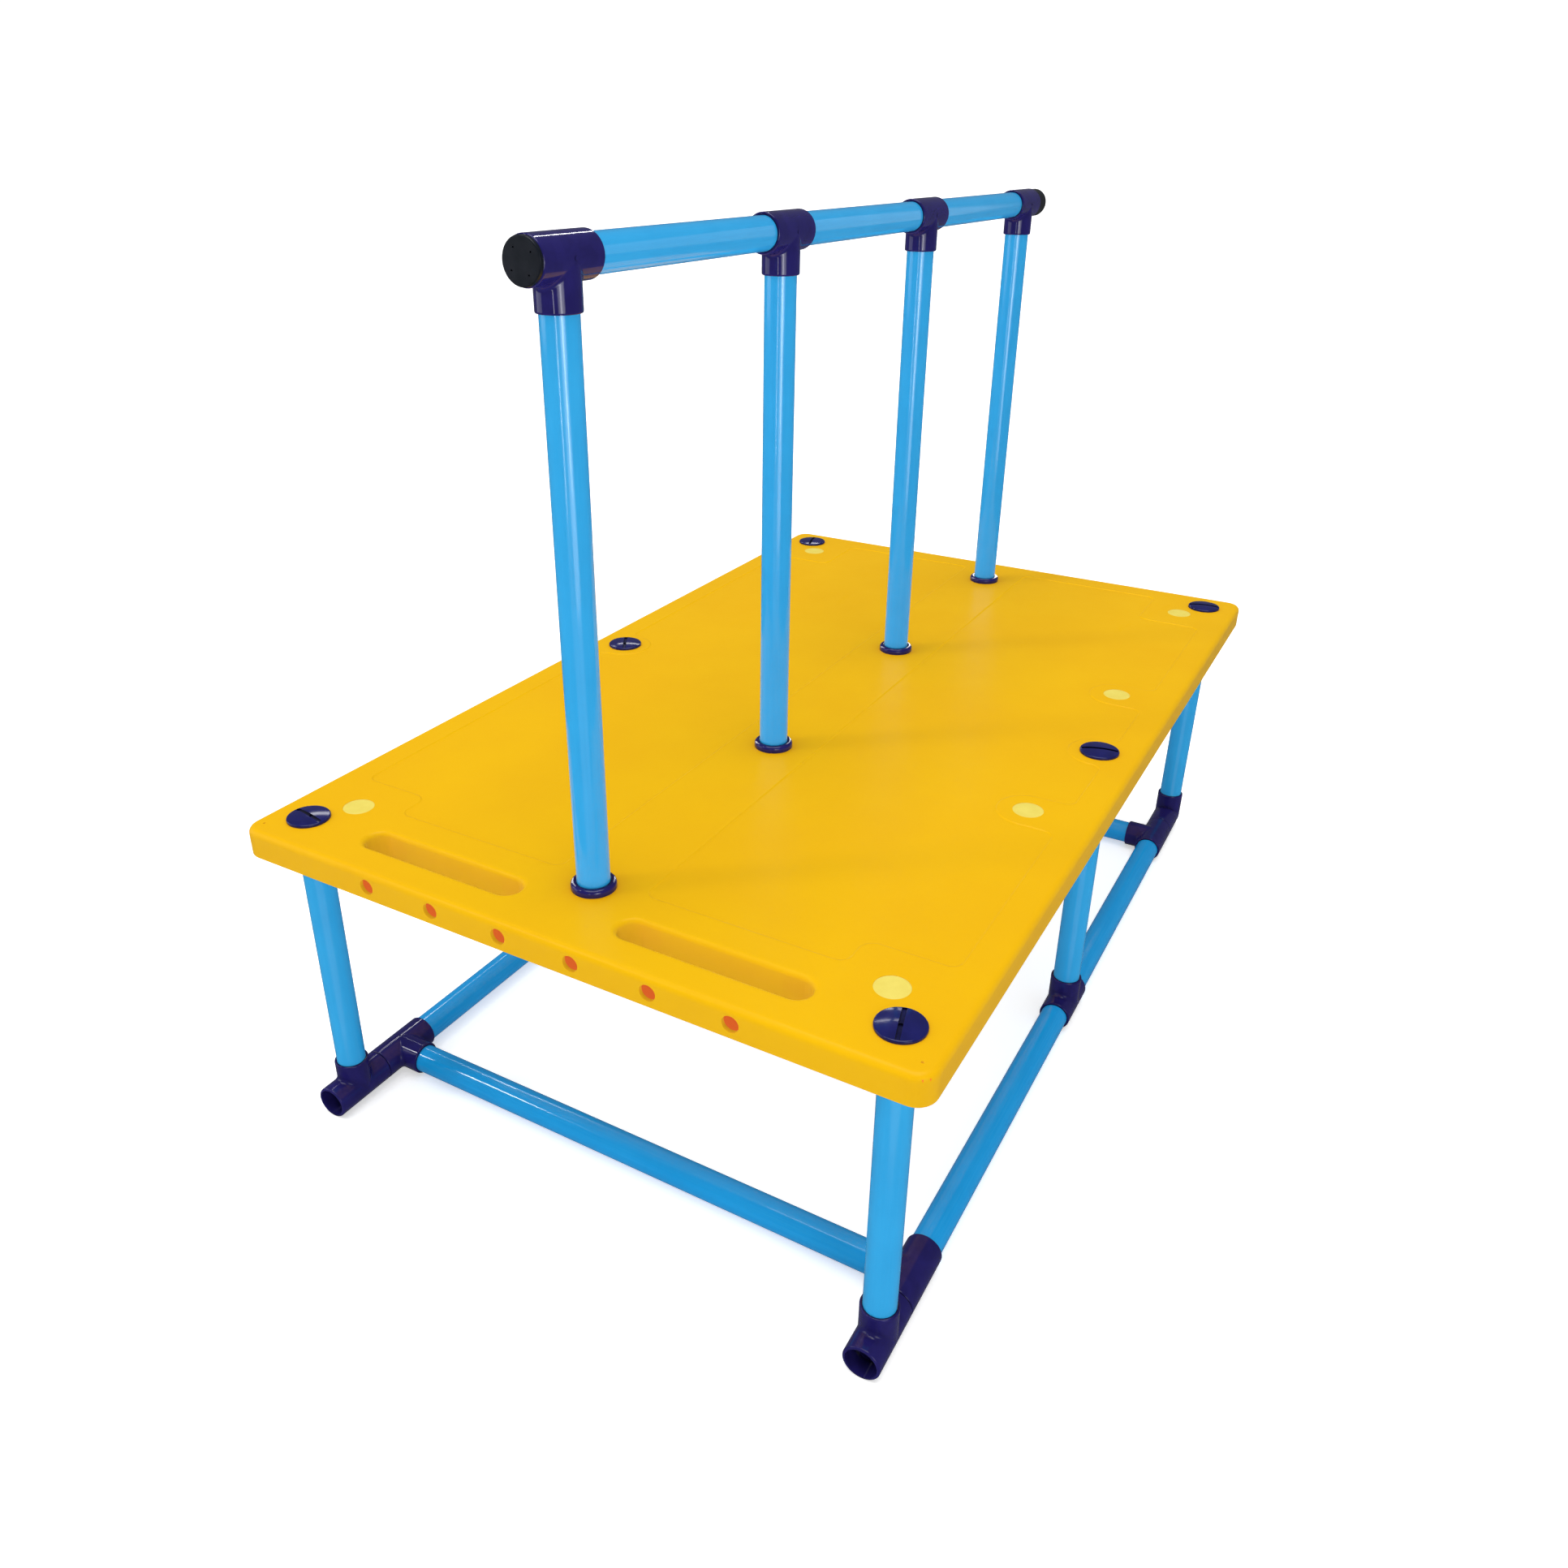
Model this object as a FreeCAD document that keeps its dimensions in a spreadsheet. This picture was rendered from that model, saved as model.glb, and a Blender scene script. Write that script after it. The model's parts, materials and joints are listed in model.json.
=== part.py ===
import FreeCAD, Part
import os
import Sketcher

# Swim-teaching platform: a hollow moulded deck on a frame of plastic pipe, with a lift-out
# handrail. Millimetres, +Z up. The origin is on the floor under the middle of the deck. X runs
# across the deck and Y along it. The near end, with the hand slots, is at -Y.

os.makedirs("parts", exist_ok=True)
doc = FreeCAD.newDocument("TeachingPlatform")
V = FreeCAD.Vector
UP = V(0, 0, 1)
RIGHT = V(1, 0, 0)
LEFT = V(-1, 0, 0)
FAR = V(0, 1, 0)
NEAR = V(0, -1, 0)

DIMENSIONS = {
    # deck
    "deck_length": 1860, "deck_width": 1140, "deck_thickness": 48, "deck_top": 562.4,
    "deck_corner": 30, "deck_top_round": 11, "deck_bottom_round": 4, "deck_wall": 6,
    # hand slots at the near end
    "slot_middle_x": 232, "slot_span": 292, "slot_radius": 22, "slot_offset": 80,
    "slot_lip": 8, "slot_bottom_lip": 3,
    # flood holes and dimples at the near end
    "flood_pitch": 122.6, "flood_radius": 12.4,
    "dimple_inset_x": 23, "dimple_inset_y": 28, "dimple_radius": 2, "dimple_depth": 2,
    # recessed tread panels beside the raised spine
    "tread_depth": 1.3, "spine_half": 72, "tread_inner": 390, "tread_outer": 521,
    "tread_near": 776, "tread_far": 873, "tread_bay": 716, "tread_corner": 20,
    "tread_edge": 2.4, "tread_foot": 5, "plug_land": 47, "cap_land": 50,
    # pipe and fittings, nominal 1 1/2 inch
    "pipe_od": 48.26, "pipe_id": 40.9, "fitting_radius": 28.4, "branch_radius": 28.2,
    "socket_radius": 24.2, "waterway_radius": 20.4, "mouth_round": 2.6, "crotch_round": 7,
    "tee_half": 56, "tee_branch": 59, "pipe_stop": 29, "gate_radius": 2.4, "gate_rise": 0.8,
    # base frame: axis height and the places of its fittings
    "base_axis": 28.4, "leg_x": 500, "leg_y": 856, "near_bar_y": 744, "far_bar_y": 711,
    # leg sockets, inserts and caps
    "leg_skin": 8.5, "leg_hole_radius": 24.45, "leg_boss_radius": 31,
    "insert_radius": 20.4, "insert_bore": 16.06, "insert_length": 40,
    "cap_radius": 33.5, "cap_edge": 4, "cap_rise": 7, "cap_gap": 0.3, "cap_round": 2.4,
    "stem_radius": 16, "stem_length": 34, "stem_hole_radius": 17,
    "coin_slot_width": 6.4, "coin_slot_depth": 4.8, "coin_slot_span": 62,
    "cap_pin_radius": 3.4, "cap_pin_depth": 7,
    # handrail
    "post_pitch": 527, "rail_height": 829, "post_depth": 41.7, "post_hole_radius": 24.45,
    "post_boss_radius": 30, "drain_radius": 4,
    "collar_radius": 33, "collar_height": 11, "collar_bore": 24.18, "collar_gap": 0.3,
    "collar_round": 5.6, "collar_inner_round": 1.2,
    # plugs in the ends of the rail
    "plug_head_radius": 27, "plug_spigot_radius": 24.12, "plug_spigot_length": 22,
    "plug_hollow_radius": 19.5, "plug_skin": 4, "plug_near_head": 5, "plug_far_head": 42,
    "plug_near_round": 1.6, "plug_far_round": 4, "plug_vent_radius": 1.3, "plug_vent_circle": 17,
    "plug_vent_turn": 35,
    # plugs that close the spare post sockets
    "blank_x": 460, "blank_radius": 24.4, "blank_height": 14, "blank_skin": 3, "blank_round": 0.8,
}

sheet = doc.addObject("Spreadsheet::Sheet", "Dims")
for row, (alias, number) in enumerate(DIMENSIONS.items(), start=1):
    sheet.set(f"A{row}", alias)
    sheet.set(f"B{row}", str(number))
    sheet.setAlias(f"B{row}", alias)
doc.recompute()

parts = []


def value(expression):
    """What an expression over the sheet comes to."""
    return float(sheet.evalExpression(expression))


def dim(alias):
    return value("Dims." + alias)


def placed(position, axis=UP, turn=0):
    """A placement whose local Z points along axis, after a turn in degrees about local Z."""
    return FreeCAD.Placement(position, FreeCAD.Rotation(UP, axis) * FreeCAD.Rotation(UP, turn))


def keep(feature, label):
    """Marks a finished sub-part. Its label is the name of its file."""
    feature.Label = label
    parts.append(feature)


# Part primitives and booleans

def primitive(kind, name, placement, **expressions):
    solid = doc.addObject(kind, name)
    for size, expression in expressions.items():
        solid.setExpression(size, expression)
    solid.Placement = placement
    return solid


def cylinder(name, position, radius, height, axis=UP):
    return primitive("Part::Cylinder", name, placed(position, axis), Radius=radius, Height=height)


def box(name, corner, length, width, height):
    return primitive("Part::Box", name, placed(corner), Length=length, Width=width, Height=height)


def fused(name, solids):
    union = doc.addObject("Part::MultiFuse", name)
    union.Shapes = solids
    union.Refine = True
    return union


def cut(name, base_solid, tool):
    result = doc.addObject("Part::Cut", name)
    result.Base = base_solid
    result.Tool = tool
    return result


def rounded(name, base_solid, picks):
    """Fillets each edge of a solid with the radius of the first (test, radius) that picks it."""
    doc.recompute()
    chosen = []
    for number, edge in enumerate(base_solid.Shape.Edges, start=1):
        if edge.Degenerated:
            continue
        radius = next((radius for test, radius in picks if test(edge)), None)
        if radius:
            chosen.append((number, radius, radius))
    if not chosen:
        raise RuntimeError(name + " rounds nothing")
    fillet = doc.addObject("Part::Fillet", name)
    fillet.Base = base_solid
    fillet.Edges = chosen
    return fillet


def is_vertical(edge):
    limits = edge.BoundBox
    return limits.ZLength > 1 and limits.XLength < 0.01 and limits.YLength < 0.01


def is_at_height(edge, z):
    return abs(edge.BoundBox.ZMin - z) < 0.01 and abs(edge.BoundBox.ZMax - z) < 0.01


def is_circle(edge, radius):
    if edge.Degenerated:
        return False
    return isinstance(edge.Curve, Part.Circle) and abs(edge.Curve.Radius - radius) < 0.01


# PartDesign bodies

def new_sketch(body, name, role="XY_Plane"):
    sketch = body.newObject("Sketcher::SketchObject", name)
    plane = next(item for item in body.Origin.OriginFeatures if item.Role == role)
    sketch.AttachmentSupport = (plane, [""])
    sketch.MapMode = "FlatFace"
    return sketch


def drive(sketch, name, constraint, expression):
    """Adds a dimensional constraint that follows an expression."""
    index = sketch.addConstraint(constraint)
    sketch.renameConstraint(index, name)
    sketch.setExpression("Constraints." + name, expression)


def circle(sketch, name, radius, x="0", y="0"):
    """A circle that follows expressions for its radius and its centre."""
    centre = V(value(x), value(y), 0)
    index = sketch.addGeometry(Part.Circle(centre, UP, value(radius)), False)
    drive(sketch, name, Sketcher.Constraint("Radius", index, value(radius)), radius)
    if centre.Length == 0:
        sketch.addConstraint(Sketcher.Constraint("Coincident", index, 3, -1, 1))
        return
    drive(sketch, name + "_x", Sketcher.Constraint("DistanceX", -1, 1, index, 3, centre.x), x)
    drive(sketch, name + "_y", Sketcher.Constraint("DistanceY", -1, 1, index, 3, centre.y), y)


def outline(sketch, corners, dome=None):
    """A closed loop through corners given as (x, y) expressions. Its sides are straight, but
    for the side numbered dome, which is an arc whose centre is on the vertical axis."""
    count = len(corners)
    points = [V(value(x), value(y), 0) for x, y in corners]
    for side in range(count):
        start = points[side]
        end = points[(side + 1) % count]
        if side == dome:
            fall = start.y - end.y
            centre_y = end.y - (start.x ** 2 + fall ** 2) / (-2 * fall)
            ball = Part.Circle(V(0, centre_y, 0), UP, end.y - centre_y)
            curve = Part.ArcOfCircle(ball, ball.parameter(start), ball.parameter(end))
        else:
            curve = Part.LineSegment(start, end)
        sketch.addGeometry(curve, False)
    for side in range(count):
        sketch.addConstraint(Sketcher.Constraint("Coincident", side, 2, (side + 1) % count, 1))
    if dome is not None:
        sketch.addConstraint(Sketcher.Constraint("PointOnObject", dome, 3, -2))
    for side, (x, y) in enumerate(corners):
        for letter, expression, kind, axis in (("x", x, "DistanceX", -2), ("y", y, "DistanceY", -1)):
            size = value(expression)
            if size == 0:
                sketch.addConstraint(Sketcher.Constraint("PointOnObject", side, 1, axis))
            else:
                drive(sketch, f"{letter}{side}", Sketcher.Constraint(kind, -1, 1, side, 1, size),
                      expression)


def pad(body, name, sketch, length):
    feature = body.newObject("PartDesign::Pad", name)
    feature.Profile = sketch
    feature.setExpression("Length", length)


def pocket(body, name, sketch, length, upward=False):
    """Cuts a sketch into its body, and makes sure that something was removed."""
    doc.recompute()
    before = body.Shape.Volume
    feature = body.newObject("PartDesign::Pocket", name)
    feature.Profile = sketch
    feature.setExpression("Length", length)
    feature.Reversed = upward
    doc.recompute()
    if body.Shape.Volume > before - 1:
        raise RuntimeError(name + " removes nothing")


def turned(label, corners, rounds, dome=None):
    """A body of revolution about local Z. Each entry of rounds is a circle's radius and height,
    as expressions, and the alias of the fillet that its edge gets."""
    body = doc.addObject("PartDesign::Body", label + "_body")
    profile = new_sketch(body, label + "_profile", "XZ_Plane")
    outline(profile, corners, dome)
    revolution = body.newObject("PartDesign::Revolution", label + "_turning")
    revolution.Profile = profile
    revolution.ReferenceAxis = (profile, ["V_Axis"])
    revolution.Angle = 360
    last = revolution
    for number, (radius, height, alias) in enumerate(rounds, start=1):
        doc.recompute()
        names = [f"Edge{index}" for index, edge in enumerate(last.Shape.Edges, start=1)
                 if is_circle(edge, value(radius)) and is_at_height(edge, value(height))]
        fillet = body.newObject("PartDesign::Fillet", f"{label}_round_{number}")
        fillet.Base = (last, names)
        fillet.setExpression("Radius", "Dims." + alias)
        last = fillet
    return body


# Places that several pieces share

top = dim("deck_top")
bottom = top - dim("deck_thickness")
base = dim("base_axis")
rail = top + dim("rail_height")
SIDES = {"left": -1, "right": 1}
LEG_ROWS = {"near": -dim("leg_y"), "mid": 0.0, "far": dim("leg_y")}
POST_ROWS = [(number - 1.5) * dim("post_pitch") for number in range(4)]


def leg_places():
    for row_name, y in LEG_ROWS.items():
        for side, sign in SIDES.items():
            yield f"{row_name}_{side}", V(sign * dim("leg_x"), y, 0)


def spare_places():
    """The post sockets beside the middle row, which the handrail doesn't use."""
    for side, numbers in (("left", (1, 4)), ("right", (1, 2, 3, 4))):
        for number in numbers:
            yield f"{side}_{number}", V(SIDES[side] * dim("blank_x"), POST_ROWS[number - 1], 0)


def post_sockets():
    yield from spare_places()
    for number, y in enumerate(POST_ROWS, start=1):
        yield f"middle_{number}", V(0, y, 0)


# Deck

def slot_places():
    for side, sign in SIDES.items():
        yield side, V(sign * dim("slot_middle_x"), dim("slot_offset") - dim("deck_length") / 2, 0)


def stadium(name, middle, z, radius, height):
    """A slot-shaped solid with round ends that lies across the deck."""
    reach = dim("slot_span") / 2 - dim("slot_radius")
    bar = box(name + "_bar", middle + V(-reach, -value(radius), z),
              "Dims.slot_span - 2 * Dims.slot_radius", f"2 * ({radius})", height)
    ends = [cylinder(f"{name}_end_{number}", middle + V(sign * reach, 0, z), radius, height)
            for number, sign in enumerate((-1, 1), start=1)]
    return fused(name, [bar] + ends)


def deck_blank():
    """The outside of the deck: a slab with rounded edges and two hand slots through it."""
    slab = box("deck_slab", V(-dim("deck_width") / 2, -dim("deck_length") / 2, bottom),
               "Dims.deck_width", "Dims.deck_length", "Dims.deck_thickness")
    corners = rounded("deck_corners", slab, [(is_vertical, dim("deck_corner"))])
    edges = rounded("deck_edges", corners, [
        (lambda edge: is_at_height(edge, top), dim("deck_top_round")),
        (lambda edge: is_at_height(edge, bottom), dim("deck_bottom_round"))])
    slots = [stadium("slot_" + side, middle, bottom - 1, "Dims.slot_radius", "Dims.deck_thickness + 2")
             for side, middle in slot_places()]
    slotted = cut("deck_slotted", edges, fused("deck_slots", slots))
    slot_y = dim("slot_offset") - dim("deck_length") / 2

    def is_lip(edge, z):
        centre = edge.CenterOfMass
        return (is_at_height(edge, z) and abs(centre.y - slot_y) < dim("slot_radius") + 1
                and abs(centre.x) < dim("leg_x"))

    return rounded("deck_lips", slotted, [
        (lambda edge: is_lip(edge, top), dim("slot_lip")),
        (lambda edge: is_lip(edge, bottom), dim("slot_bottom_lip"))])


def deck_cavity():
    """The hollow inside the deck, less the bosses and slot walls that stand in it."""
    wall = dim("deck_wall")
    corner = V(wall - dim("deck_width") / 2, wall - dim("deck_length") / 2, bottom + wall)
    hollow = box("cavity_block", corner, "Dims.deck_width - 2 * Dims.deck_wall",
                 "Dims.deck_length - 2 * Dims.deck_wall", "Dims.deck_thickness - 2 * Dims.deck_wall")
    hollow = rounded("cavity_corners", hollow, [(is_vertical, dim("deck_corner") - wall)])
    hollow = rounded("cavity_edges", hollow, [
        (lambda edge: is_at_height(edge, top - wall), dim("deck_top_round") - wall)])
    through = "Dims.deck_thickness + 2"
    low = V(0, 0, bottom - 1)
    bosses = [cylinder("leg_boss_" + name, place + low, "Dims.leg_boss_radius", through)
              for name, place in leg_places()]
    bosses += [cylinder("post_boss_" + name, place + low, "Dims.post_boss_radius", through)
               for name, place in post_sockets()]
    slot_wall = "Dims.slot_radius + Dims.slot_lip + Dims.deck_wall"
    bosses += [stadium("slot_wall_" + side, middle, low.z, slot_wall, through)
               for side, middle in slot_places()]
    return cut("cavity", hollow, fused("bosses", bosses))


def deck_holes():
    """Sockets for the legs, the cap stems and the posts, with the flood holes and dimples."""
    holes = []
    for name, place in leg_places():
        holes.append(cylinder("leg_hole_" + name, place + V(0, 0, bottom - 1),
                              "Dims.leg_hole_radius", "Dims.deck_thickness - Dims.leg_skin + 1"))
        holes.append(cylinder("stem_hole_" + name, place + V(0, 0, bottom),
                              "Dims.stem_hole_radius", "Dims.deck_thickness + 1"))
    for name, place in post_sockets():
        holes.append(cylinder("post_hole_" + name, place + V(0, 0, bottom + dim("deck_wall")),
                              "Dims.post_hole_radius", "Dims.deck_thickness"))
        holes.append(cylinder("drain_" + name, place + V(0, 0, bottom - 1),
                              "Dims.drain_radius", "Dims.deck_wall + 2"))
    near = -dim("deck_length") / 2
    for number in range(6):
        x = (number - 2.5) * dim("flood_pitch")
        holes.append(cylinder(f"flood_hole_{number + 1}", V(x, near - 1, top - dim("deck_thickness") / 2),
                              "Dims.flood_radius", "Dims.deck_wall + 2", FAR))
    for side, sign in SIDES.items():
        x = sign * (dim("deck_width") / 2 - dim("dimple_inset_x"))
        holes.append(cylinder("dimple_" + side, V(x, near + dim("dimple_inset_y"),
                                                  top - dim("dimple_depth")),
                              "Dims.dimple_radius", "2 * Dims.dimple_depth"))
    return holes


def land(name, middle, radius, low):
    """A tongue of the deck's rim that reaches in round a cap or a plug. Its end is round."""
    end = cylinder(name + "_end", middle + V(0, 0, low - 1), radius, "Dims.tread_depth + 8")
    reach = dim("tread_outer") - abs(middle.x) + 10
    corner = V(middle.x if middle.x > 0 else middle.x - reach, middle.y - value(radius), low - 1)
    neck = box(name + "_neck", corner, f"Dims.tread_outer - {abs(middle.x)} + 10",
               f"2 * ({radius})", "Dims.tread_depth + 8")
    return fused(name, [end, neck])


def tread_panel(side, sign):
    """The shallow recess on one side of the spine, kept clear of the caps and socket plugs."""
    height = "Dims.tread_depth + 5"
    low = top - dim("tread_depth")
    spine = dim("spine_half")
    inner = dim("tread_inner")
    outer = dim("tread_outer")
    main = box("tread_main_" + side, V(min(sign * spine, sign * inner), -dim("tread_near"), low),
               "Dims.tread_inner - Dims.spine_half", "Dims.tread_near + Dims.tread_far", height)
    bay = box("tread_bay_" + side, V(min(sign * (inner - 1), sign * outer), -dim("tread_bay"), low),
              "Dims.tread_outer - Dims.tread_inner + 1", "2 * Dims.tread_bay", height)
    lands = [land("cap_land_" + side, V(sign * dim("leg_x"), 0, 0), "Dims.cap_land", low)]
    lands += [land("plug_land_" + name, place, "Dims.plug_land", low)
              for name, place in spare_places()
              if place.x * sign > 0 and abs(place.y) < dim("tread_bay")]
    panel = cut("tread_panel_" + side, fused("tread_slabs_" + side, [main, bay]),
                fused("lands_" + side, lands) if len(lands) > 1 else lands[0])

    def is_corner(edge):
        seams = (dim("leg_x"), dim("blank_x"))
        return is_vertical(edge) and all(abs(abs(edge.CenterOfMass.x) - x) > 1 for x in seams)

    corners = rounded("tread_corners_" + side, panel, [(is_corner, dim("tread_corner"))])
    return rounded("tread_foot_" + side, corners, [
        (lambda edge: is_at_height(edge, low), dim("tread_foot"))])


def is_tread_edge(edge):
    """Whether an edge of the deck is the upper rim of a tread panel."""
    holes = (dim("post_hole_radius"), dim("stem_hole_radius"))
    if not is_at_height(edge, top) or any(is_circle(edge, radius) for radius in holes):
        return False
    centre = edge.CenterOfMass
    return (dim("spine_half") - 1 < abs(centre.x) < dim("tread_outer") + 1
            and -dim("tread_near") - 1 < centre.y < dim("tread_far") + 1)


def make_deck():
    tools = [deck_cavity()] + deck_holes()
    tools += [tread_panel(side, sign) for side, sign in SIDES.items()]
    solid = cut("deck_solid", deck_blank(), fused("deck_tools", tools))
    keep(rounded("deck_treads", solid, [(is_tread_edge, dim("tread_edge"))]), "deck")


# Pipes and fittings

def tube(label, position, axis, length):
    """A length of pipe that starts at a position and runs along an axis."""
    body = doc.addObject("PartDesign::Body", label + "_body")
    profile = new_sketch(body, label + "_profile")
    circle(profile, "outside", "Dims.pipe_od / 2")
    circle(profile, "inside", "Dims.pipe_id / 2")
    pad(body, label + "_pad", profile, length)
    body.Placement = placed(position, axis)
    keep(body, label)


def is_mouth(edge):
    return isinstance(edge.Curve, Part.Circle) and edge.Curve.Center.Length > dim("tee_half") - 1


def is_crotch(edge):
    return not isinstance(edge.Curve, (Part.Circle, Part.Line))


def bored(label, outside, branches, placement):
    """Bores a fitting. Each branch is an axis, the distance to its mouth and the distance to
    the stop that its pipe meets, as expressions."""
    bores = [primitive("Part::Sphere", label + "_core", placed(V(0, 0, 0)),
                       Radius="Dims.waterway_radius")]
    for number, (axis, mouth, stop) in enumerate(branches, start=1):
        bores.append(cylinder(f"{label}_way_{number}", V(0, 0, 0), "Dims.waterway_radius", stop, axis))
        bores.append(cylinder(f"{label}_socket_{number}", axis * value(stop), "Dims.socket_radius",
                              f"{mouth} - {stop} + 1", axis))
    hollow = cut(label + "_hollow", outside, fused(label + "_bores", bores))
    hollow.Placement = placement
    keep(hollow, label)


BRANCH_TURNS = {"up": 0, "right": 90, "down": 180, "left": -90}


def tee(label, position, branch_direction):
    """A slip tee whose run lies along Y and whose branch leaves in the direction named."""
    run = cylinder(label + "_run", NEAR * dim("tee_half"), "Dims.fitting_radius",
                   "2 * Dims.tee_half", FAR)
    branch = cylinder(label + "_branch", V(0, 0, 0), "Dims.branch_radius", "Dims.tee_branch")
    gate = cylinder(label + "_gate", V(0, 0, 0), "Dims.gate_radius",
                    "Dims.fitting_radius + Dims.gate_rise", LEFT)
    smooth = rounded(label + "_smooth", fused(label + "_shape", [run, branch]), [
        (is_mouth, dim("mouth_round")), (is_crotch, dim("crotch_round"))])
    outside = fused(label + "_outside", [smooth, gate])
    turn = FreeCAD.Rotation(FAR, BRANCH_TURNS[branch_direction])
    branches = [(axis, "Dims.tee_half", "Dims.pipe_stop") for axis in (NEAR, FAR)]
    branches.append((UP, "Dims.tee_branch", "Dims.pipe_stop"))
    bored(label, outside, branches, FreeCAD.Placement(position, turn))


def elbow(label, position):
    """A long-arm elbow: one hub up for the leg, and an arm that reaches the tee before it."""
    arm = "(Dims.leg_y - Dims.far_bar_y - Dims.tee_half)"
    arm_stop = "(Dims.leg_y - Dims.far_bar_y - 2 * Dims.tee_half + Dims.pipe_stop)"
    heel = primitive("Part::Sphere", label + "_heel", placed(V(0, 0, 0)), Radius="Dims.branch_radius")
    rise = cylinder(label + "_rise", V(0, 0, 0), "Dims.branch_radius", "Dims.tee_branch")
    reach = cylinder(label + "_reach", V(0, 0, 0), "Dims.branch_radius", arm, NEAR)
    shape = fused(label + "_shape", [heel, rise, reach])
    smooth = rounded(label + "_smooth", shape, [(is_mouth, dim("mouth_round"))])
    bored(label, smooth, [(UP, "Dims.tee_branch", "Dims.pipe_stop"), (NEAR, arm, arm_stop)],
          placed(position))


def make_base():
    between_tees = "2 * (Dims.tee_half - Dims.pipe_stop)"
    stop = dim("pipe_stop")
    near_leg, near_bar, far_bar = -dim("leg_y"), -dim("near_bar_y"), dim("far_bar_y")
    elbow_stop = far_bar + 2 * dim("tee_half") - stop
    for side, sign in SIDES.items():
        x = sign * dim("leg_x")
        inward = {"left": "right", "right": "left"}[side]
        tee("leg_tee_" + side, V(x, near_leg, base), "up")
        tee("near_bar_tee_" + side, V(x, near_bar, base), inward)
        tee("mid_tee_" + side, V(x, 0, base), "up")
        tee("far_bar_tee_" + side, V(x, far_bar, base), inward)
        elbow("far_elbow_" + side, V(x, dim("leg_y"), base))
        tube("near_nipple_" + side, V(x, near_leg + stop, base), FAR, between_tees)
        tube("near_side_rail_" + side, V(x, near_bar + stop, base), FAR,
             "Dims.near_bar_y - 2 * Dims.pipe_stop")
        tube("far_side_rail_" + side, V(x, stop, base), FAR, "Dims.far_bar_y - 2 * Dims.pipe_stop")
        tube("far_nipple_" + side, V(x, elbow_stop - value(between_tees), base), FAR, between_tees)
    for row_name, y in (("near", near_bar), ("far", far_bar)):
        tube(row_name + "_crossbar", V(stop - dim("leg_x"), y, base), RIGHT,
             "2 * (Dims.leg_x - Dims.pipe_stop)")
    for name, place in leg_places():
        tube("leg_" + name, place + V(0, 0, base + stop), UP,
             "Dims.deck_top - Dims.leg_skin - Dims.base_axis - Dims.pipe_stop")


# Inserts, caps and socket plugs

# Each cap was tightened by hand, so each coin slot points its own way, in degrees from +X.
CAP_TURNS = {"near_left": -9, "near_right": 105, "mid_left": 121, "mid_right": 15,
             "far_left": 105, "far_right": 10}


def make_inserts():
    """The threaded sleeves in the tops of the legs, as one group."""
    foot = top - dim("leg_skin") - dim("insert_length")
    sleeves = []
    for name, place in leg_places():
        outside = cylinder("insert_" + name, place + V(0, 0, foot), "Dims.insert_radius",
                           "Dims.insert_length")
        inside = cylinder("insert_bore_" + name, place + V(0, 0, foot - 1), "Dims.insert_bore",
                          "Dims.insert_length + 2")
        sleeves.append(cut("insert_sleeve_" + name, outside, inside))
    group = doc.addObject("Part::Compound", "inserts")
    group.Links = sleeves
    keep(group, "leg_inserts")


def leg_cap(name, place):
    """A screw cap: a low dome with a coin slot, on a stem that fills the insert."""
    label = "leg_cap_" + name
    corners = [("0", "-Dims.stem_length"), ("Dims.stem_radius", "-Dims.stem_length"),
               ("Dims.stem_radius", "0"), ("Dims.cap_radius", "0"),
               ("Dims.cap_radius", "Dims.cap_edge"), ("0", "Dims.cap_rise")]
    body = turned(label, corners, [("Dims.cap_radius", "Dims.cap_edge", "cap_round")], dome=4)
    slot = new_sketch(body, label + "_slot")
    slot.setExpression("AttachmentOffset.Base.z", "Dims.cap_rise - Dims.coin_slot_depth")
    half_span = "Dims.coin_slot_span / 2"
    half_width = "Dims.coin_slot_width / 2"
    outline(slot, [("-" + half_span, "-" + half_width), (half_span, "-" + half_width),
                   (half_span, half_width), ("-" + half_span, half_width)])
    pocket(body, label + "_slot_cut", slot, "Dims.coin_slot_depth + 1", upward=True)
    pin = new_sketch(body, label + "_pin")
    pin.setExpression("AttachmentOffset.Base.z", "Dims.cap_rise - Dims.cap_pin_depth")
    circle(pin, "pin", "Dims.cap_pin_radius")
    pocket(body, label + "_pin_cut", pin, "Dims.cap_pin_depth + 1", upward=True)
    body.Placement = placed(place + V(0, 0, top + dim("cap_gap")), turn=CAP_TURNS[name])
    keep(body, label)


def blank(name, place):
    """A flush plug for a spare post socket, hollow underneath."""
    wall = "Dims.blank_radius - Dims.blank_skin"
    corners = [("0", "-Dims.blank_skin"), (wall, "-Dims.blank_skin"), (wall, "-Dims.blank_height"),
               ("Dims.blank_radius", "-Dims.blank_height"), ("Dims.blank_radius", "0"), ("0", "0")]
    body = turned("socket_plug_" + name, corners, [("Dims.blank_radius", "0", "blank_round")])
    body.Placement = placed(place + V(0, 0, top))
    keep(body, "socket_plug_" + name)


# Handrail

def collar(label, y):
    corners = [("Dims.collar_bore", "0"), ("Dims.collar_radius", "0"),
               ("Dims.collar_radius", "Dims.collar_height"), ("Dims.collar_bore", "Dims.collar_height")]
    rounds = [("Dims.collar_radius", "Dims.collar_height", "collar_round"),
              ("Dims.collar_bore", "Dims.collar_height", "collar_inner_round")]
    body = turned(label, corners, rounds)
    body.Placement = placed(V(0, y, top + dim("collar_gap")))
    keep(body, label)


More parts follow.
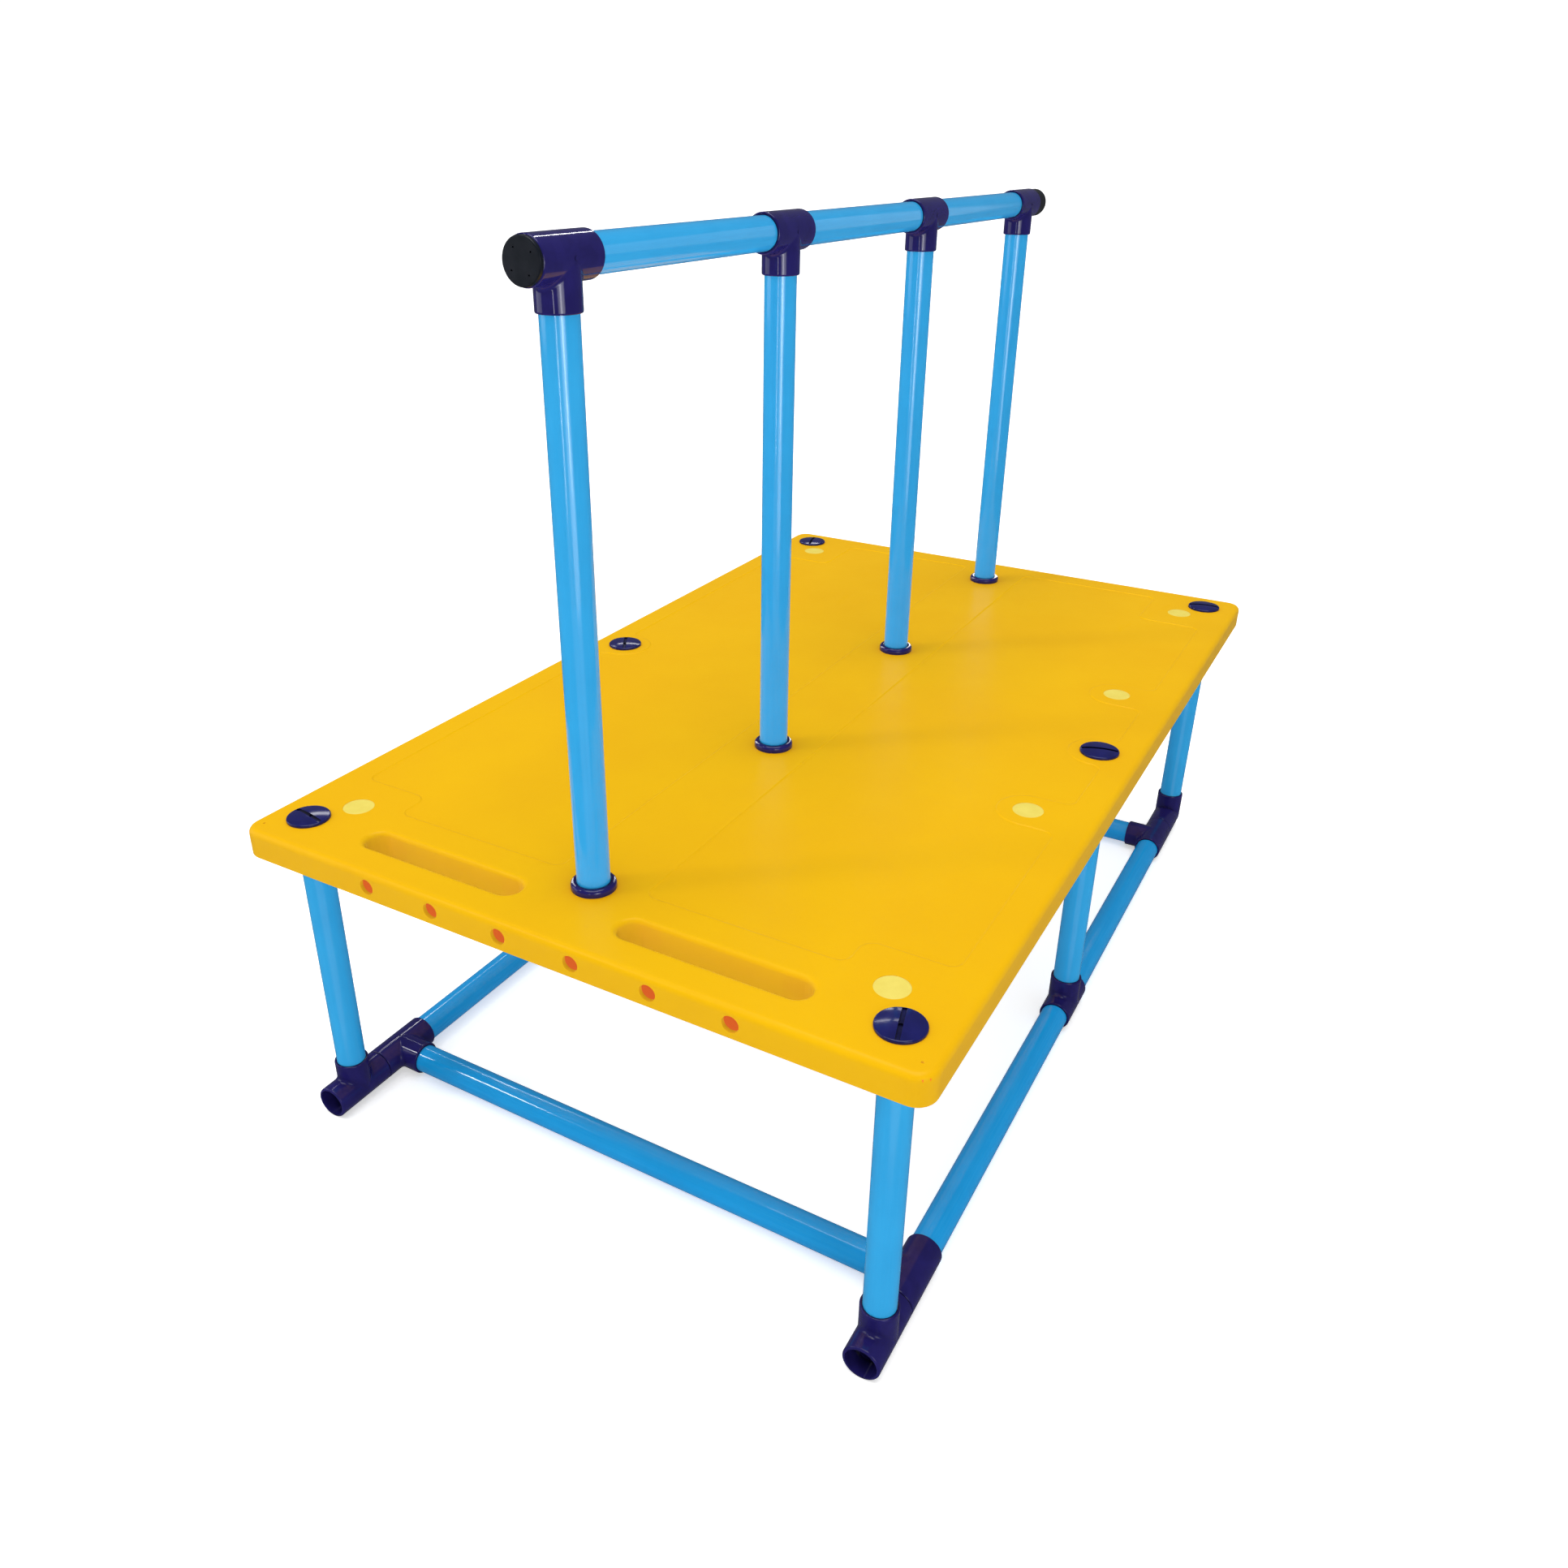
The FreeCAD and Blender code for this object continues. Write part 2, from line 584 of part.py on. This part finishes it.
def rail_plug(label, y, axis, head, edge_round):
    """A plug for an end of the rail: a head outside the tee and a hollow spigot inside it."""
    hollow_top = f"{head} - Dims.plug_skin"
    spigot_end = "-Dims.plug_spigot_length"
    corners = [("0", hollow_top), ("Dims.plug_hollow_radius", hollow_top),
               ("Dims.plug_hollow_radius", spigot_end), ("Dims.plug_spigot_radius", spigot_end),
               ("Dims.plug_spigot_radius", "0"), ("Dims.plug_head_radius", "0"),
               ("Dims.plug_head_radius", head), ("0", head)]
    body = turned(label, corners, [("Dims.plug_head_radius", head, edge_round)])
    body.Placement = placed(V(0, y, rail), axis)
    keep(body, label)
    return body


def vent_plug(body, label):
    """Bores the four small vents through the head of a rail plug."""
    vents = new_sketch(body, label + "_vents")
    for number in range(4):
        angle = f"(Dims.plug_vent_turn + {90 * number}) * 1 deg"
        circle(vents, f"vent_{number + 1}", "Dims.plug_vent_radius",
               f"Dims.plug_vent_circle * cos({angle})", f"Dims.plug_vent_circle * sin({angle})")
    pocket(body, label + "_vent_cut", vents, "Dims.plug_near_head + 1", upward=True)


def make_handrail():
    stop = dim("pipe_stop")
    foot = top - dim("post_depth")
    for number, y in enumerate(POST_ROWS, start=1):
        collar(f"post_collar_{number}", y)
        tube(f"rail_post_{number}", V(0, y, foot), UP,
             "Dims.rail_height + Dims.post_depth - Dims.pipe_stop")
        tee(f"rail_tee_{number}", V(0, y, rail), "down")
    for number, y in enumerate(POST_ROWS[:-1], start=1):
        tube(f"rail_tube_{number}", V(0, y + stop, rail), FAR, "Dims.post_pitch - 2 * Dims.pipe_stop")
    near_plug = rail_plug("rail_plug_near", POST_ROWS[0] - dim("tee_half"), NEAR,
                          "Dims.plug_near_head", "plug_near_round")
    vent_plug(near_plug, "rail_plug_near")
    rail_plug("rail_plug_far", POST_ROWS[-1] + dim("tee_half"), FAR,
              "Dims.plug_far_head", "plug_far_round")


make_deck()
make_base()
make_inserts()
for leg_name, leg_place in leg_places():
    leg_cap(leg_name, leg_place)
for spare_name, spare_place in spare_places():
    blank(spare_name, spare_place)
make_handrail()

doc.recompute()
failed = [item.Label for item in doc.Objects if {"Invalid", "Error"} & set(item.State)]
failed += [item.Label for item in parts if item.Shape.isNull() or not item.Shape.isValid()]
if failed:
    raise RuntimeError("these objects failed: " + ", ".join(failed))

for item in parts:
    item.Shape.exportStep(f"parts/{item.Label}.step")
    print(f"{item.Label}: {len(item.Shape.Solids)} solid, {item.Shape.Volume / 1000:.1f} cm3")
print(len(parts), "nodes")
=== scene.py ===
import json
import math

import bpy
from mathutils import Euler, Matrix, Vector


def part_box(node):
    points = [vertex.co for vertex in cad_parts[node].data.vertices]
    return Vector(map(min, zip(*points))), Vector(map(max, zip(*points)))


# Looks for the swim-teaching platform. Metres, in the row's frame: the origin is on the floor under
# the middle of the deck, X runs across it, Y along it, and the near end is at -Y.

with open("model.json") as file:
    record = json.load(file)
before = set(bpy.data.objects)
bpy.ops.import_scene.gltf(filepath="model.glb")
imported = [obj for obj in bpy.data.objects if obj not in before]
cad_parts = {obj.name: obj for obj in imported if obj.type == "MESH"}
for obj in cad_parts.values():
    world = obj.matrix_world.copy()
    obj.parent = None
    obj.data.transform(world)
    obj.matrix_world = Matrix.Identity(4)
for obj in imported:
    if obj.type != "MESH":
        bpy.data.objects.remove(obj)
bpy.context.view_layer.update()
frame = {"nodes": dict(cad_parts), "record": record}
NODES = frame["nodes"]
SLOT_OF = {part["node"]: part["material_slot"] for part in frame["record"]["subparts"]}
DECK_LOW, DECK_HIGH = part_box("deck")

# The deck's hollow lies this far inside its outer faces.
CAVITY_INSET = Vector((0.0058, 0.0058, 0.0058))

# The hollow keeps clear of the hand slots, the rounded corners and the post sockets. Each of these
# zones is a middle and a half size, and runs right through the deck.
RIGHT_THROUGH = 2.0
SLOT_REACH = Vector((0.152, 0.031, RIGHT_THROUGH))
CORNER_REACH = Vector((0.0125, 0.0125, RIGHT_THROUGH))
SOCKET_REACH = Vector((0.031, 0.031, RIGHT_THROUGH))
HAND_SLOT_X = 0.232
HAND_SLOT_FROM_END = 0.080
SLOT_MIDDLES = [Vector((x, DECK_LOW.y + HAND_SLOT_FROM_END, 0.0)) for x in (-HAND_SLOT_X, HAND_SLOT_X)]
CORNERS = [Vector((x, y, 0.0)) for x in (DECK_LOW.x, DECK_HIGH.x) for y in (DECK_LOW.y, DECK_HIGH.y)]
SOCKET_MIDDLES = [sum(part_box(node), Vector()) / 2 for node in NODES if node.startswith("rail_post")]
SOLID_ZONES = [(middle, SLOT_REACH) for middle in SLOT_MIDDLES]
SOLID_ZONES += [(corner, CORNER_REACH) for corner in CORNERS]
SOLID_ZONES += [(middle, SOCKET_REACH) for middle in SOCKET_MIDDLES]

# Colours, in linear red, green and blue
YELLOW_LIGHT = (0.85, 0.475, 0.002)
YELLOW_DARK = (0.83, 0.450, 0.002)
YELLOW_SPECK = (0.74, 0.34, 0.003)
# Painted shade for the deck's grooves, corners and contact areas:
YELLOW_PAINTED_SHADE = (0.84, 0.33, 0.012)
# Painted light and painted glow of the deck's hollow inside:
ORANGE_PAINTED_INSIDE_LIGHT = (0.60, 0.12, 0.015)
ORANGE_PAINTED_GLOW = (0.90, 0.125, 0.024)
PALE_LIGHT = (0.86, 0.71, 0.135)
PALE_DARK = (0.82, 0.66, 0.11)
PALE_EDGE = (0.70, 0.48, 0.06)
# Lit and shaded copies of one pipe blue: the upper copy is paler with a painted sheen, the base copy,
# under the deck, darker as painted shade.
UPPER_BLUE_PAINTED_LIT = (0.034, 0.415, 0.835), (0.028, 0.392, 0.805)
BASE_BLUE_PAINTED_SHADED = (0.012, 0.370, 0.830), (0.008, 0.350, 0.800)
BLUE_DIE_LINE = (0.045, 0.455, 0.865)
BLUE_MARK = (0.20, 0.48, 0.74)
FITTING_NAVY = (0.014, 0.011, 0.100), (0.018, 0.014, 0.128)
CAP_NAVY = (0.009, 0.010, 0.085), (0.012, 0.013, 0.115)
NAVY_DUST = (0.08, 0.08, 0.14)
NAVY_WORN = (0.05, 0.045, 0.19)
# Painted shade for the grooves and slots of the navy parts:
NAVY_PAINTED_SHADE = (0.002, 0.002, 0.010)
BLACK_DARK = (0.003, 0.006, 0.012)
BLACK_LIGHT = (0.006, 0.009, 0.017)
BLACK_EDGE = (0.03, 0.036, 0.048)
WHITE_LIGHT = (0.72, 0.72, 0.70)
WHITE_DARK = (0.64, 0.64, 0.62)
FLOOR_DARK = (0.91, 0.91, 0.91)
FLOOR_LIGHT = (0.93, 0.93, 0.93)
PURE_WHITE = (1.0, 1.0, 1.0)


# Node graphs

def opaque(colour):
    """A colour with full alpha, or a socket as it is."""
    return colour if isinstance(colour, bpy.types.NodeSocket) else (*colour, 1.0)


class Graph:
    """The node tree of a material or world, with one method for each thing that it is built from."""

    def __init__(self, owner, shader="Principled BSDF"):
        self.owner = owner
        self.owner.use_nodes = True
        self.tree = self.owner.node_tree
        self.shader = self.tree.nodes[shader]

    def set(self, socket, source):
        """Gives a socket a value, or links it if the source is another node's socket."""
        if isinstance(source, bpy.types.NodeSocket):
            self.tree.links.new(source, socket)
        else:
            socket.default_value = source

    def finish(self, **settings):
        """Sets the shader's own sockets, named with underscores for spaces."""
        for name, source in settings.items():
            self.set(self.shader.inputs[name.replace("_", " ")], source)
        return self.owner

    def place(self, scale=(1, 1, 1)):
        """Positions in the row's frame, in metres, stretched by scale."""
        where = self.tree.nodes.new("ShaderNodeTexCoord")
        mapping = self.tree.nodes.new("ShaderNodeMapping")
        mapping.inputs["Scale"].default_value = scale
        self.tree.links.new(where.outputs["Object"], mapping.inputs["Vector"])
        return mapping.outputs["Vector"]

    def noise(self, size, detail=3.0, roughness=0.5, stretch=(1, 1, 1), distortion=0.0):
        """Soft noise whose features are about size metres across."""
        node = self.tree.nodes.new("ShaderNodeTexNoise")
        self.set(node.inputs["Vector"], self.place(stretch))
        self.set(node.inputs["Scale"], 1.0 / size)
        self.set(node.inputs["Detail"], detail)
        self.set(node.inputs["Roughness"], roughness)
        self.set(node.inputs["Distortion"], distortion)
        return node.outputs["Fac"]

    def remap(self, source, low, high, to_low=0.0, to_high=1.0):
        """Low to high becomes to_low to to_high, and values outside are held at the ends."""
        node = self.tree.nodes.new("ShaderNodeMapRange")
        self.set(node.inputs["Value"], source)
        self.set(node.inputs["From Min"], low)
        self.set(node.inputs["From Max"], high)
        self.set(node.inputs["To Min"], to_low)
        self.set(node.inputs["To Max"], to_high)
        return node.outputs["Result"]

    def between(self, factor, low, high):
        """A number that goes from low to high as the factor goes from 0 to 1."""
        return self.remap(factor, 0.0, 1.0, low, high)

    def mottle(self, size, detail=3.0, roughness=0.5, distortion=0.0):
        """Noise stretched over the whole of 0 to 1."""
        return self.remap(self.noise(size, detail, roughness, distortion=distortion), 0.35, 0.65)

    def math(self, operation, first, second=0.0):
        node = self.tree.nodes.new("ShaderNodeMath")
        node.operation = operation
        self.set(node.inputs[0], first)
        self.set(node.inputs[1], second)
        return node.outputs["Value"]

    def ray(self, kind):
        """1 for rays of one kind, 0 for the rest."""
        return self.tree.nodes.new("ShaderNodeLightPath").outputs[kind]

    def blend(self, factor, first, second):
        """A colour between two others."""
        node = self.tree.nodes.new("ShaderNodeMix")
        node.data_type = "RGBA"
        self.set(node.inputs["Factor"], factor)
        self.set(node.inputs["A"], opaque(first))
        self.set(node.inputs["B"], opaque(second))
        return node.outputs["Result"]

    def tint(self, colour, where, strength, other):
        """The colour, with some of another one where the mask is 1."""
        return self.blend(self.math("MULTIPLY", where, strength), colour, other)

    def gloss(self, factor, low, high, marks, rise):
        """Roughness between low and high by the factor, and higher by rise where there are marks."""
        return self.math("ADD", self.between(factor, low, high), self.math("MULTIPLY", marks, rise))

    def within(self, low, high):
        """1 where a point lies between two corners, 0 elsewhere."""
        split = self.tree.nodes.new("ShaderNodeSeparateXYZ")
        self.set(split.inputs[0], self.place())
        inside = 1.0
        for axis in range(3):
            middle = (low[axis] + high[axis]) / 2
            offset = self.math("ABSOLUTE", self.math("SUBTRACT", split.outputs[axis], middle))
            held = self.math("LESS_THAN", offset, (high[axis] - low[axis]) / 2)
            inside = self.math("MULTIPLY", held, inside)
        return inside

    def edges(self, radius):
        """1 along convex and concave edges within radius metres, 0 on flat faces."""
        bevel = self.tree.nodes.new("ShaderNodeBevel")
        bevel.samples = 4
        self.set(bevel.inputs["Radius"], radius)
        geometry = self.tree.nodes.new("ShaderNodeNewGeometry")
        dot = self.tree.nodes.new("ShaderNodeVectorMath")
        dot.operation = "DOT_PRODUCT"
        self.set(dot.inputs[0], bevel.outputs["Normal"])
        self.set(dot.inputs[1], geometry.outputs["Normal"])
        return self.remap(dot.outputs["Value"], 0.99, 0.8)

    def hollows(self, reach):
        """1 deep in a groove or corner that is within reach metres, 0 in the open, found by ambient
        occlusion; it masks painted shade.
        """
        shade = self.tree.nodes.new("ShaderNodeAmbientOcclusion")
        shade.samples = 6
        self.set(shade.inputs["Distance"], reach)
        return self.remap(shade.outputs["AO"], 0.90, 0.40)

    def bump(self, height, distance, strength=1.0, below=None):
        """A relief of distance metres, on top of another one if that is given."""
        node = self.tree.nodes.new("ShaderNodeBump")
        self.set(node.inputs["Height"], height)
        self.set(node.inputs["Distance"], distance)
        self.set(node.inputs["Strength"], strength)
        if below is not None:
            self.set(node.inputs["Normal"], below)
        return node.outputs["Normal"]


def material(name):
    return Graph(bpy.data.materials.new(name))


# Materials

def deck_yellow():
    """Rotationally moulded polyethylene: satin, faintly mottled, with a fine orange peel. The hollow
    inside gets a painted orange colour and a painted emission glow for light let through the thin
    walls, and grooves, corners and the deck around other parts get painted shade in a deeper orange."""
    g = material("deck_yellow")
    clouds = g.mottle(0.22, 4.0, 0.55)
    specks = g.remap(g.noise(0.006, 2.0, 0.6), 0.62, 0.75)
    colour = g.tint(g.blend(clouds, YELLOW_LIGHT, YELLOW_DARK), specks, 0.10, YELLOW_SPECK)
    inside = g.within(DECK_LOW + CAVITY_INSET, DECK_HIGH - CAVITY_INSET)
    for middle, reach in SOLID_ZONES:
        outside = g.math("SUBTRACT", 1.0, g.within(middle - reach, middle + reach))
        inside = g.math("MULTIPLY", inside, outside)
    # Painted shade: grooves, slot walls and the deck around other parts turn deeper orange by ambient
    # occlusion.
    colour = g.tint(colour, g.hollows(0.06), 0.7, YELLOW_PAINTED_SHADE)
    # Painted light: the hollow inside is coloured orange for light let through the walls.
    colour = g.blend(inside, colour, ORANGE_PAINTED_INSIDE_LIGHT)
    scuffs = g.remap(g.noise(0.05, 6.0, 0.7, (1.0, 0.25, 1.0)), 0.60, 0.75)
    peel = g.bump(g.noise(0.009, 2.0, 0.4), 0.0004, 0.35)
    skin = g.bump(g.noise(0.0022, 1.0, 0.5), 0.00012, 0.35, peel)
    # The emission on the hollow inside is a painted glow, not a lamp.
    return g.finish(Base_Color=colour, Roughness=g.gloss(clouds, 0.30, 0.36, scuffs, 0.08),
                    Normal=skin, Specular_IOR_Level=0.09, Emission_Color=opaque(ORANGE_PAINTED_GLOW),
                    Emission_Strength=g.math("MULTIPLY", inside, 0.42))


def plug_pale():
    """Unpigmented plug plastic: paler, slightly waxy."""
    g = material("plug_pale")
    clouds = g.mottle(0.02)
    colour = g.tint(g.blend(clouds, PALE_LIGHT, PALE_DARK), g.edges(0.0012), 0.5, PALE_EDGE)
    skin = g.bump(g.noise(0.003, 2.0, 0.5), 0.0001, 0.4)
    return g.finish(Base_Color=colour, Roughness=g.between(clouds, 0.34, 0.42), Normal=skin,
                    Specular_IOR_Level=0.3)


def pipe_blue(name, axis, light, dark):
    """Extruded pipe: faint die lines along its length, light handling marks, semi-gloss."""
    stretch = [1.0, 1.0, 1.0]
    stretch[axis] = 0.02
    g = material(name)
    lines = g.noise(0.0035, 2.0, 0.6, tuple(stretch))
    bands = g.mottle(0.10)
    colour = g.tint(g.blend(bands, light, dark), g.remap(lines, 0.45, 0.65), 0.15, BLUE_DIE_LINE)
    marks = g.remap(g.noise(0.012, 5.0, 0.7, distortion=0.6), 0.66, 0.74)
    colour = g.tint(colour, marks, 0.10, BLUE_MARK)
    return g.finish(Base_Color=colour, Roughness=g.gloss(bands, 0.09, 0.13, marks, 0.15),
                    Normal=g.bump(lines, 0.00012, 0.30), Specular_IOR_Level=0.45)


def navy(name, dark, light, roughness_low, roughness_high):
    """Injection-moulded gloss plastic, a little paler where edges have been handled, with painted
    shade, near black, in its grooves, slots and rims against other parts.
    """
    g = material(name)
    flow = g.mottle(0.035, distortion=0.8)
    dust = g.remap(g.noise(0.004, 4.0, 0.7), 0.60, 0.75)
    colour = g.tint(g.blend(flow, dark, light), dust, 0.04, NAVY_DUST)
    worn = g.math("MULTIPLY", g.edges(0.0012), g.remap(g.noise(0.006, 3.0, 0.6), 0.35, 0.6))
    colour = g.tint(colour, worn, 0.30, NAVY_WORN)
    # Painted shade: slots, grooves and rims against other parts turn near black by ambient occlusion.
    colour = g.tint(colour, g.hollows(0.014), 0.9, NAVY_PAINTED_SHADE)
    return g.finish(Base_Color=colour, Specular_IOR_Level=0.30,
                    Roughness=g.gloss(flow, roughness_low, roughness_high, dust, 0.06),
                    Normal=g.bump(g.noise(0.010, 2.0, 0.4), 0.00012, 0.3))


def plug_black():
    """Grained black plastic at the ends of the handrail."""
    g = material("plug_black")
    flow = g.mottle(0.02)
    colour = g.tint(g.blend(flow, BLACK_DARK, BLACK_LIGHT), g.edges(0.001), 0.4, BLACK_EDGE)
    return g.finish(Base_Color=colour, Roughness=g.between(flow, 0.30, 0.40),
                    Normal=g.bump(g.noise(0.0015, 2.0, 0.6), 0.0001, 0.5), Specular_IOR_Level=0.3)


def insert_white():
    """The threaded inserts in the leg tops."""
    g = material("insert_white")
    flow = g.mottle(0.01)
    return g.finish(Base_Color=g.blend(flow, WHITE_LIGHT, WHITE_DARK),
                    Roughness=g.between(flow, 0.4, 0.5),
                    Normal=g.bump(g.noise(0.002, 2.0), 0.0001, 0.3))


MATERIALS = {
    "deck_yellow": deck_yellow(),
    "plug_pale": plug_pale(),
    "fitting_navy": navy("fitting_navy", *FITTING_NAVY, 0.06, 0.09),
    "collar_navy": navy("collar_navy", *FITTING_NAVY, 0.06, 0.10),
    "cap_navy": navy("cap_navy", *CAP_NAVY, 0.08, 0.13),
    "plug_black": plug_black(),
    "insert_white": insert_white(),
}
BASE_PIPES = ("near_crossbar", "far_crossbar", "near_side_rail", "far_side_rail", "near_nipple",
              "far_nipple")
PIPES = {}


def long_axis(node):
    low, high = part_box(node)
    sides = high - low
    return max(range(3), key=lambda axis: sides[axis])


def pipe_material(node):
    """The blue of this pipe, with its die lines along the pipe: the paler copy with a painted sheen
    for upper pipes, the darker copy with painted shade for base pipes under the deck.
    """
    axis = long_axis(node)
    level = "base" if node.startswith(BASE_PIPES) else "upper"
    name = "pipe_blue_" + level + "_" + "xyz"[axis]
    if name not in PIPES:
        PIPES[name] = pipe_blue(name, axis, *(BASE_BLUE_PAINTED_SHADED if level == "base" else UPPER_BLUE_PAINTED_LIT))
    return PIPES[name]


for node, piece in NODES.items():
    slot = SLOT_OF[node]
    piece.data.materials.clear()
    piece.data.materials.append(pipe_material(node) if slot == "pipe_blue" else MATERIALS[slot])

# The deck's own bounce light would tint the pipes green.
NODES["deck"].visible_diffuse = False


# Floor and studio

FLOOR_SIZE = 300
FLOOR_GLOW = 0.08
FLOOR_GLOW_SEEN = 0.50

# The studio's brightness low down and overhead, in reflections, and as the camera sees it
STUDIO_LOW = 0.22
STUDIO_HIGH = 0.42
STUDIO_IN_GLOSS = 0.14
STUDIO_SEEN = 1.05


def make_floor():
    bpy.ops.mesh.primitive_plane_add(size=FLOOR_SIZE, location=(0, 0, 0))
    floor = bpy.context.object
    floor.name = "floor"
    g = material("floor")
    tone = g.remap(g.noise(0.8, 2.0, 0.5), 0.3, 0.7)
    floor.data.materials.append(g.finish(
        Base_Color=g.blend(tone, FLOOR_DARK, FLOOR_LIGHT), Roughness=0.9,
        Specular_IOR_Level=0.1, Emission_Color=opaque(PURE_WHITE),
        Emission_Strength=g.between(g.ray("Is Camera Ray"), FLOOR_GLOW, FLOOR_GLOW_SEEN)))
    floor.visible_glossy = False


def make_world():
    """A dim studio that shows as plain white behind the object."""
    world = bpy.data.worlds.new("studio")
    bpy.context.scene.world = world
    g = Graph(world, "Background")
    where = g.tree.nodes.new("ShaderNodeTexCoord")
    split = g.tree.nodes.new("ShaderNodeSeparateXYZ")
    g.set(split.inputs[0], where.outputs["Generated"])
    brightness = g.remap(split.outputs["Z"], -0.2, 0.5, STUDIO_LOW, STUDIO_HIGH)
    brightness = g.between(g.ray("Is Glossy Ray"), brightness, STUDIO_IN_GLOSS)
    brightness = g.between(g.ray("Is Camera Ray"), brightness, STUDIO_SEEN)
    g.finish(Color=opaque(PURE_WHITE), Strength=brightness)


# Lamps

# The highlight cards shine only on the nodes of one group, whose names start like this.
GROUPS = {
    "posts": ("rail_post", "rail_tee", "post_collar"),
    "uprights": ("rail_post", "leg_near", "leg_mid", "leg_far"),
    "tubes": ("rail_tube",),
    "tees": ("rail_tee",),
    "base": ("leg_tee", "near_bar", "far_bar", "mid_tee", "far_elbow", "near_side", "far_side",
             "near_cross", "far_cross"),
    "caps": ("leg_cap",),
    "collars": ("post_collar",),
}

# Each card's name and group, its place, the point it faces, its width and height, and its glow
CARDS = (
    ("upright_veil", "uprights", (1.9, -3.6, -0.4), (0.0, 0.0, 0.0), (3.6, 4.2), 0.7),
    ("tube_veil", "tubes", (2.6, 2.6, 1.9), (0.0, 0.0, 1.4), (4.0, 2.4), 0.5),
    ("post_card", "posts", (2.35, -2.75, 0.6), (0.0, 0.0, 0.7), (1.6, 1.4), 3.0),
    ("post_core", "posts", (2.30, -2.70, 0.9), (0.0, 0.0, 1.0), (0.4, 1.0), 8.0),
    ("post_line", "posts", (0.78, -3.69, 0.9), (0.0, -0.79, 1.0), (0.14, 1.2), 12.0),
    ("tee_line", "tees", (-0.75, 1.7, 3.06), (-0.75, 1.7, 0.0), (0.05, 1.0), 60.0),
    ("side_line", "base", (-2.45, 1.7, 3.06), (-2.45, 1.7, 0.0), (0.05, 1.8), 36.0),
    ("bar_line", "base", (-2.75, 1.58, 3.06), (-2.75, 1.58, 0.0), (1.1, 0.05), 36.0),
    ("cap_glint", "caps", (-2.2, 3.65, 2.69), (0.0, 0.0, 0.6), (2.2, 0.22), 7.0),
    ("cap_left_glint", "caps", (-2.95, 1.75, 2.55), (-0.5, -0.86, 0.6), (1.1, 0.4), 6.0),
    ("cap_right_glint", "caps", (-1.0, 1.54, 2.68), (0.5, -0.86, 0.6), (0.9, 0.10), 12.0),
    ("collar_left_glint", "collars", (-3.7, 1.0, 2.2), (0.0, 0.0, 0.6), (1.5, 3.0), 8.0),
    ("collar_right_glint", "collars", (-0.6, 4.0, 2.2), (0.0, 0.0, 0.6), (1.5, 3.0), 8.0),
)


def group(name, starts):
    """The nodes whose names start in one of these ways, for a lamp to be limited to."""
    members = bpy.data.collections.new(name)
    for node, piece in NODES.items():
        if node.startswith(starts):
            members.objects.link(piece)
    return members


def lamp(name, kind, place, aim, strength, only=None, **settings):
    """A lamp that faces a point. The strength is in watts, or in watts per square metre for a sun."""
    light = bpy.data.lights.new(name, kind)
    light.energy = strength
    for setting, number in settings.items():
        setattr(light, setting, number)
    holder = bpy.data.objects.new(name, light)
    bpy.context.scene.collection.objects.link(holder)
    holder.location = place
    holder.rotation_euler = (Vector(aim) - Vector(place)).to_track_quat("-Z", "Y").to_euler()
    holder.visible_camera = False
    if only:
        holder.light_linking.receiver_collection = only
    return holder


def panel(name, place, aim, size, strength, only=None):
    """A rectangular lamp."""
    width, height = size
    return lamp(name, "AREA", place, aim, strength, only, shape="RECTANGLE", size=width, size_y=height)


def card(name, place, aim, size, glow, only):
    """A glowing card that shows only as a highlight, and only on some nodes."""
    board = panel(name, place, aim, size, glow * math.pi * size[0] * size[1], only)
    board.visible_diffuse = False
    board.data.use_shadow = False


def make_lights():
    middle = (0.0, 0.0, DECK_HIGH.z)
    lamp("sky", "SUN", (0.0, 0.0, 5.0), middle, 1.94, angle=math.radians(45))
    lamp("key", "SUN", (-4.4, -3.6, 6.2), middle, 0.30, angle=math.radians(7))
    panel("left_panel", (-4.2, -2.6, 1.8), middle, (3.2, 2.4), 40)
    panel("right_panel", (4.0, -3.6, 1.6), middle, (2.4, 2.2), 44)
    groups = {name: group(name, starts) for name, starts in GROUPS.items()}
    for name, lit, place, aim, size, glow in CARDS:
        card(name, place, aim, size, glow, groups[lit])


# Camera, at the photographed view: lens in millimetres, angles in degrees

SENSOR_WIDTH = 36.0
LENS = 28.20
CAMERA_PLACE = (0.9202, -1.9615, DECK_HIGH.z + 0.9449)
CAMERA_AZIMUTH = 30.02
CAMERA_PITCH = 26.50
CAMERA_ROLL = 0.185
CAMERA_SHIFT = (0.0260, -0.0190)


def make_camera():
    camera = bpy.data.cameras.new("camera")
    camera.sensor_width = SENSOR_WIDTH
    camera.lens = LENS
    camera.shift_x, camera.shift_y = CAMERA_SHIFT
    camera.dof.use_dof = False
    holder = bpy.data.objects.new("camera", camera)
    bpy.context.scene.collection.objects.link(holder)
    holder.location = CAMERA_PLACE
    tilt = math.radians(90 - CAMERA_PITCH)
    aim = Euler((tilt, 0, math.radians(CAMERA_AZIMUTH)), "XYZ").to_matrix()
    roll = Euler((0, 0, math.radians(CAMERA_ROLL)), "XYZ").to_matrix()
    holder.rotation_euler = (aim @ roll).to_euler()
    bpy.context.scene.camera = holder


make_floor()
make_world()
make_lights()
make_camera()
bpy.context.scene.view_settings.view_transform = "Standard"
